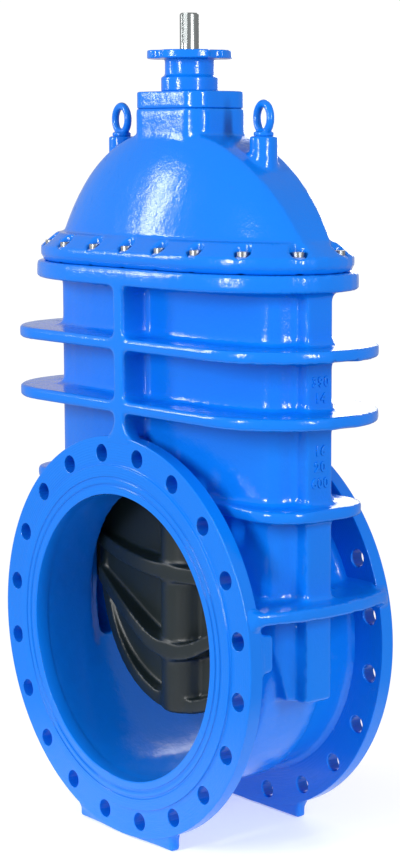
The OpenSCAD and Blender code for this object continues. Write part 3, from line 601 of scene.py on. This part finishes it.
head_sizes = {"Count": SCREW_COUNT, "Head Radius": SCREW_HEAD, "Head Height": SCREW_HEAD_HEIGHT,
              "Key Radius": SCREW_KEY, "Finish": zinc}
tree, given, result = geometry_tree("cap_screws_along_line", head_sizes)
path = add(tree, "GeometryNodeMeshToCurve", {"Mesh": given.outputs["Geometry"]})
places = add(tree, "GeometryNodeResampleCurve", {"Curve": path.outputs[0], "Count": given.outputs["Count"]})
head = add(tree, "GeometryNodeMeshCylinder", {
    "Vertices": 32, "Radius": given.outputs["Head Radius"], "Depth": given.outputs["Head Height"],
})
key = add(tree, "GeometryNodeMeshCylinder", {
    "Vertices": 6, "Radius": given.outputs["Key Radius"], "Depth": given.outputs["Head Height"],
})
rise = add(tree, "ShaderNodeMath", {0: given.outputs["Head Height"], 1: 0.5}, operation="MULTIPLY")
lift = add(tree, "ShaderNodeCombineXYZ", {"Z": rise.outputs[0]})
raised_key = add(tree, "GeometryNodeTransform", {
    "Geometry": key.outputs["Mesh"], "Translation": lift.outputs[0],
})
socket_head = add(tree, "GeometryNodeMeshBoolean", {
    "Mesh 1": head.outputs["Mesh"], "Mesh 2": raised_key.outputs[0],
}, operation="DIFFERENCE")
screws = add(tree, "GeometryNodeInstanceOnPoints", {
    "Points": places.outputs[0], "Instance": socket_head.outputs[0],
})
real = add(tree, "GeometryNodeRealizeInstances", {"Geometry": screws.outputs[0]})
coated = add(tree, "GeometryNodeSetMaterial", {
    "Geometry": real.outputs[0], "Material": given.outputs["Finish"],
})
tree.links.new(coated.outputs[0], result.inputs[0])
screw_line = joint_line(SCREW_EDGE, SCREW_SEAT + SCREW_HEAD_HEIGHT / 2)
cover_screws = repeated("cover_screws", screw_line, tree, head_sizes)
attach(cover_screws, "valve")

plug_sizes = {"Count": SCREW_COUNT, "Radius": WAX_RADIUS, "Crown": WAX_CROWN, "Finish": wax}
tree, given, result = geometry_tree("wax_plugs_along_line", plug_sizes)
path = add(tree, "GeometryNodeMeshToCurve", {"Mesh": given.outputs["Geometry"]})
places = add(tree, "GeometryNodeResampleCurve", {"Curve": path.outputs[0], "Count": given.outputs["Count"]})
ball = add(tree, "GeometryNodeMeshUVSphere", {"Segments": 32, "Rings": 16, "Radius": 1.0})
spread = add(tree, "ShaderNodeCombineXYZ", {
    "X": given.outputs["Radius"], "Y": given.outputs["Radius"], "Z": given.outputs["Crown"],
})
plug = add(tree, "GeometryNodeTransform", {"Geometry": ball.outputs["Mesh"], "Scale": spread.outputs[0]})
plugs = add(tree, "GeometryNodeInstanceOnPoints", {
    "Points": places.outputs[0], "Instance": plug.outputs[0],
})
real = add(tree, "GeometryNodeRealizeInstances", {"Geometry": plugs.outputs[0]})
rounded = add(tree, "GeometryNodeSetShadeSmooth", {"Geometry": real.outputs[0]})
coated = add(tree, "GeometryNodeSetMaterial", {
    "Geometry": rounded.outputs[0], "Material": given.outputs["Finish"],
})
tree.links.new(coated.outputs[0], result.inputs[0])
screw_wax = repeated("screw_sealing_wax", joint_line(SCREW_EDGE, SCREW_SEAT + WAX_FOOT), tree, plug_sizes)
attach(screw_wax, "valve")

# ---- Bearing cover and top flange housing -----------------------------------
# Two small castings over the stem's bearing. The upper one is turned all over,
# carries the stem's seals and ends in the four-eared flange for the actuator.
cover = casting("bearing_cover_casting", "bearing_cover", voxel=0.002, root=0.002, edge=0.0012,
                flatness=0.03, material=epoxy_as_cast)
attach(cover, "valve")
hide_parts("bearing_cover")

housing = casting("top_flange_casting", "top_flange", voxel=0.0015, root=0.003, edge=0.0015,
                  flatness=0.02, material=epoxy_as_cast)
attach(housing, "valve")
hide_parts("top_flange")

# ---- Lifting eyes: forged rings screwed into the bonnet ---------------------
# Drop forged eye bolts with a collar, by which the valve is slung. They are
# screwed into the bonnet's bosses and coated together with it.
for side in ("left", "right"):
    node = "lifting_eye_" + side
    eye = casting(node + "_forging", node, voxel=0.001, root=0.003, edge=0.001, flatness=0.05,
                  material=epoxy_as_cast)
    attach(eye, "valve")
    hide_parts(node)

# ---- Wedge: an iron disc under vulcanised rubber ----------------------------
# The gate itself, a cast iron core wholly coated in black EPDM, which the
# mould leaves satin, with soft edges and a fine grain.
RUBBER_BLACK = "#0b1719"
RUBBER_BLOOM = "#132124"
RUBBER_GRAIN = 0.004
RUBBER_GRAIN_DEPTH = 0.0002
RUBBER_FLOW = 0.09
RUBBER_FLOW_DEPTH = 0.001
rubber, tree = new_material("vulcanised_epdm_rubber")
point = add(tree, "ShaderNodeTexCoord").outputs["Object"]
grain = add(tree, "ShaderNodeTexNoise", {
    "Vector": point, "Scale": 1 / RUBBER_GRAIN, "Detail": 3.0,
}).outputs["Fac"]
bloom = add(tree, "ShaderNodeTexNoise", {
    "Vector": point, "Scale": 1 / RUBBER_FLOW, "Detail": 3.0,
}).outputs["Fac"]
flow = add(tree, "ShaderNodeBump", {"Height": bloom, "Strength": 1.0, "Distance": RUBBER_FLOW_DEPTH})
normal = add(tree, "ShaderNodeBump", {
    "Height": grain, "Strength": 1.0, "Distance": RUBBER_GRAIN_DEPTH, "Normal": flow.outputs["Normal"],
})
tint = add(tree, "ShaderNodeMix", {
    "Factor": bloom, 6: linear(RUBBER_BLACK), 7: linear(RUBBER_BLOOM),
}, data_type="RGBA")
gloss = add(tree, "ShaderNodeMapRange", {"Value": grain, "To Min": 0.34, "To Max": 0.48})
shader = add(tree, "ShaderNodeBsdfPrincipled", {
    "Base Color": tint.outputs[2], "Roughness": gloss.outputs[0], "IOR": 1.5,
    "Normal": normal.outputs["Normal"],
})
add(tree, "ShaderNodeOutputMaterial", {"Surface": shader.outputs[0]})

wedge = casting("wedge_rubber", "wedge", voxel=0.003, root=0.005, edge=0.0028,
                flatness=0.05, material=rubber)
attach(wedge, "wedge")
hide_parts("wedge")

# ---- Stem: a turned stainless shaft -----------------------------------------
# Bright bar, turned and then ground where it runs in its seals, with a keyway
# milled into its upper end for the actuator's drive bush.
STEEL_GREY = "#a4a9a9"
TOOL_LINES = 0.0012
TOOL_LINE_DEPTH = 0.00006
ALONG_LINES = (0.02, 0.02, 1)
SMEARS = 0.03
SHARP_FROM = math.radians(35)
FLAT_WITHIN = math.radians(0.5)


def machined(name, node, bevel, material, body_name):
    """A turned or moulded piece made from its CAD node, with a small chamfer on its edges."""
    points, triangles = solid_of(node)
    mesh = bpy.data.meshes.new(name)
    mesh.from_pydata(points.tolist(), [], triangles.tolist())
    shell = bmesh.new()
    shell.from_mesh(mesh)
    bmesh.ops.dissolve_limit(shell, angle_limit=FLAT_WITHIN, verts=shell.verts, edges=shell.edges)
    for edge in shell.edges:
        edge.smooth = len(edge.link_faces) == 2 and edge.calc_face_angle(0) < SHARP_FROM
    for face in shell.faces:
        face.smooth = True
    shell.to_mesh(mesh)
    shell.free()
    piece = finished(name, mesh, [
        ("BEVEL", {"width": bevel, "segments": 2, "limit_method": "ANGLE", "angle_limit": SHARP_FROM,
                   "use_clamp_overlap": True}),
        ("WEIGHTED_NORMAL", {"mode": "FACE_AREA", "weight": 50, "keep_sharp": True}),
    ], [material])
    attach(piece, body_name)
    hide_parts(node)


stainless, tree = new_material("turned_stainless_steel")
point = add(tree, "ShaderNodeTexCoord").outputs["Object"]
lines = add(tree, "ShaderNodeMapping", {"Vector": point, "Scale": ALONG_LINES})
feed = add(tree, "ShaderNodeTexNoise", {"Vector": lines.outputs[0], "Scale": 1 / TOOL_LINES}).outputs["Fac"]
smear = add(tree, "ShaderNodeTexNoise", {"Vector": point, "Scale": 1 / SMEARS}).outputs["Fac"]
gloss = add(tree, "ShaderNodeMapRange", {"Value": smear, "To Min": 0.2, "To Max": 0.34})
normal = add(tree, "ShaderNodeBump", {"Height": feed, "Strength": 1.0, "Distance": TOOL_LINE_DEPTH})
shader = add(tree, "ShaderNodeBsdfPrincipled", {
    "Base Color": linear(STEEL_GREY), "Metallic": 1.0, "Roughness": gloss.outputs[0],
    "Normal": normal.outputs["Normal"],
})
add(tree, "ShaderNodeOutputMaterial", {"Surface": shader.outputs[0]})
machined("stem_shaft", "stem", bevel=0.0006, material=stainless, body_name="stem")

# ---- Seals: moulded rubber rings --------------------------------------------
# The joint ring between body and bonnet, the rings of the cover, the housing
# and the bush, the back seal and the wiper, all moulded in smooth black EPDM.
RING_BLACK = "#141617"
RING_BLOOM = "#1e2122"
RING_CLOUDS = 0.02
RING_GRAIN = 0.002
RING_GRAIN_DEPTH = 0.0001
rubber_ring, tree = new_material("moulded_epdm_ring")
point = add(tree, "ShaderNodeTexCoord").outputs["Object"]
bloom = add(tree, "ShaderNodeTexNoise", {
    "Vector": point, "Scale": 1 / RING_CLOUDS, "Detail": 3.0,
}).outputs["Fac"]
grain = add(tree, "ShaderNodeTexNoise", {"Vector": point, "Scale": 1 / RING_GRAIN}).outputs["Fac"]
tint = add(tree, "ShaderNodeMix", {
    "Factor": bloom, 6: linear(RING_BLACK), 7: linear(RING_BLOOM),
}, data_type="RGBA")
gloss = add(tree, "ShaderNodeMapRange", {"Value": bloom, "To Min": 0.35, "To Max": 0.5})
normal = add(tree, "ShaderNodeBump", {"Height": grain, "Strength": 1.0, "Distance": RING_GRAIN_DEPTH})
shader = add(tree, "ShaderNodeBsdfPrincipled", {
    "Base Color": tint.outputs[2], "Roughness": gloss.outputs[0], "IOR": 1.5,
    "Normal": normal.outputs["Normal"],
})
add(tree, "ShaderNodeOutputMaterial", {"Surface": shader.outputs[0]})
for node in ("bonnet_gasket", "back_seal", "cover_gasket", "housing_gasket", "seal_rings", "wiper_ring"):
    machined(node + "_moulding", node, bevel=0.0005, material=rubber_ring, body_name="valve")

# ---- Bearing: two thrust washers and the seals' bush ------------------------
# The washers take the stem's collar, and the bush carries its seal rings. All
# are turned from cream acetal bar: smooth and satin, with the tool's fine lines.
ACETAL_CREAM = "#e9e3d2"
ACETAL_SHADE = "#ded6c2"
ACETAL_LINES = 0.001
ACETAL_LINE_DEPTH = 0.00005
ACETAL_CLOUDS = 0.04
acetal, tree = new_material("turned_acetal")
point = add(tree, "ShaderNodeTexCoord").outputs["Object"]
lines = add(tree, "ShaderNodeMapping", {"Vector": point, "Scale": ALONG_LINES})
feed = add(tree, "ShaderNodeTexNoise", {
    "Vector": lines.outputs[0], "Scale": 1 / ACETAL_LINES,
}).outputs["Fac"]
cloud = add(tree, "ShaderNodeTexNoise", {"Vector": point, "Scale": 1 / ACETAL_CLOUDS}).outputs["Fac"]
tint = add(tree, "ShaderNodeMix", {
    "Factor": cloud, 6: linear(ACETAL_CREAM), 7: linear(ACETAL_SHADE),
}, data_type="RGBA")
gloss = add(tree, "ShaderNodeMapRange", {"Value": cloud, "To Min": 0.35, "To Max": 0.45})
normal = add(tree, "ShaderNodeBump", {"Height": feed, "Strength": 1.0, "Distance": ACETAL_LINE_DEPTH})
shader = add(tree, "ShaderNodeBsdfPrincipled", {
    "Base Color": tint.outputs[2], "Roughness": gloss.outputs[0], "IOR": 1.48,
    "Normal": normal.outputs["Normal"],
})
add(tree, "ShaderNodeOutputMaterial", {"Surface": shader.outputs[0]})
for node in ("thrust_washer_lower", "thrust_washer_upper", "seal_bush"):
    machined(node + "_turning", node, bevel=0.0005, material=acetal, body_name="valve")

# ---- Stem nut: the wedge's thread -------------------------------------------
# The nut sits loose in the wedge's head and rides up and down the stem. It is
# turned from cast brass, which is yellow and smooth and has dulled a little.
BRASS_BRIGHT = "#c9a35a"
BRASS_DULL = "#a9823f"
TARNISH = 0.02
BRASS_GRAIN = 0.001
BRASS_GRAIN_DEPTH = 0.00005
brass, tree = new_material("turned_brass")
point = add(tree, "ShaderNodeTexCoord").outputs["Object"]
dulled = add(tree, "ShaderNodeTexNoise", {
    "Vector": point, "Scale": 1 / TARNISH, "Detail": 3.0,
}).outputs["Fac"]
grain = add(tree, "ShaderNodeTexNoise", {"Vector": point, "Scale": 1 / BRASS_GRAIN}).outputs["Fac"]
tint = add(tree, "ShaderNodeMix", {
    "Factor": dulled, 6: linear(BRASS_BRIGHT), 7: linear(BRASS_DULL),
}, data_type="RGBA")
gloss = add(tree, "ShaderNodeMapRange", {"Value": dulled, "To Min": 0.25, "To Max": 0.42})
normal = add(tree, "ShaderNodeBump", {"Height": grain, "Strength": 1.0, "Distance": BRASS_GRAIN_DEPTH})
shader = add(tree, "ShaderNodeBsdfPrincipled", {
    "Base Color": tint.outputs[2], "Metallic": 1.0, "Roughness": gloss.outputs[0],
    "Normal": normal.outputs["Normal"],
})
add(tree, "ShaderNodeOutputMaterial", {"Surface": shader.outputs[0]})
machined("stem_nut_turning", "stem_nut", bevel=0.0008, material=brass, body_name="wedge")

# ---- Guide shoes: the wedge's slides ----------------------------------------
# Blocks that are clipped over the wedge's lugs and run in the body's rails,
# moulded in polyamide: dull dark grey, with the mould's spark eroded grain.
POLYAMIDE_GREY = "#3a3c3d"
POLYAMIDE_PALE = "#434546"
SPARK_GRAIN = 0.0015
SPARK_DEPTH = 0.00015
POLYAMIDE_CLOUDS = 0.05
polyamide, tree = new_material("moulded_polyamide")
point = add(tree, "ShaderNodeTexCoord").outputs["Object"]
spark = add(tree, "ShaderNodeTexNoise", {"Vector": point, "Scale": 1 / SPARK_GRAIN}).outputs["Fac"]
cloud = add(tree, "ShaderNodeTexNoise", {"Vector": point, "Scale": 1 / POLYAMIDE_CLOUDS}).outputs["Fac"]
tint = add(tree, "ShaderNodeMix", {
    "Factor": cloud, 6: linear(POLYAMIDE_GREY), 7: linear(POLYAMIDE_PALE),
}, data_type="RGBA")
gloss = add(tree, "ShaderNodeMapRange", {"Value": spark, "To Min": 0.4, "To Max": 0.55})
normal = add(tree, "ShaderNodeBump", {"Height": spark, "Strength": 1.0, "Distance": SPARK_DEPTH})
shader = add(tree, "ShaderNodeBsdfPrincipled", {
    "Base Color": tint.outputs[2], "Roughness": gloss.outputs[0], "IOR": 1.5,
    "Normal": normal.outputs["Normal"],
})
add(tree, "ShaderNodeOutputMaterial", {"Surface": shader.outputs[0]})
for side in ("left", "right"):
    node = "guide_shoe_" + side
    machined(node + "_moulding", node, bevel=0.003, material=polyamide, body_name="wedge")
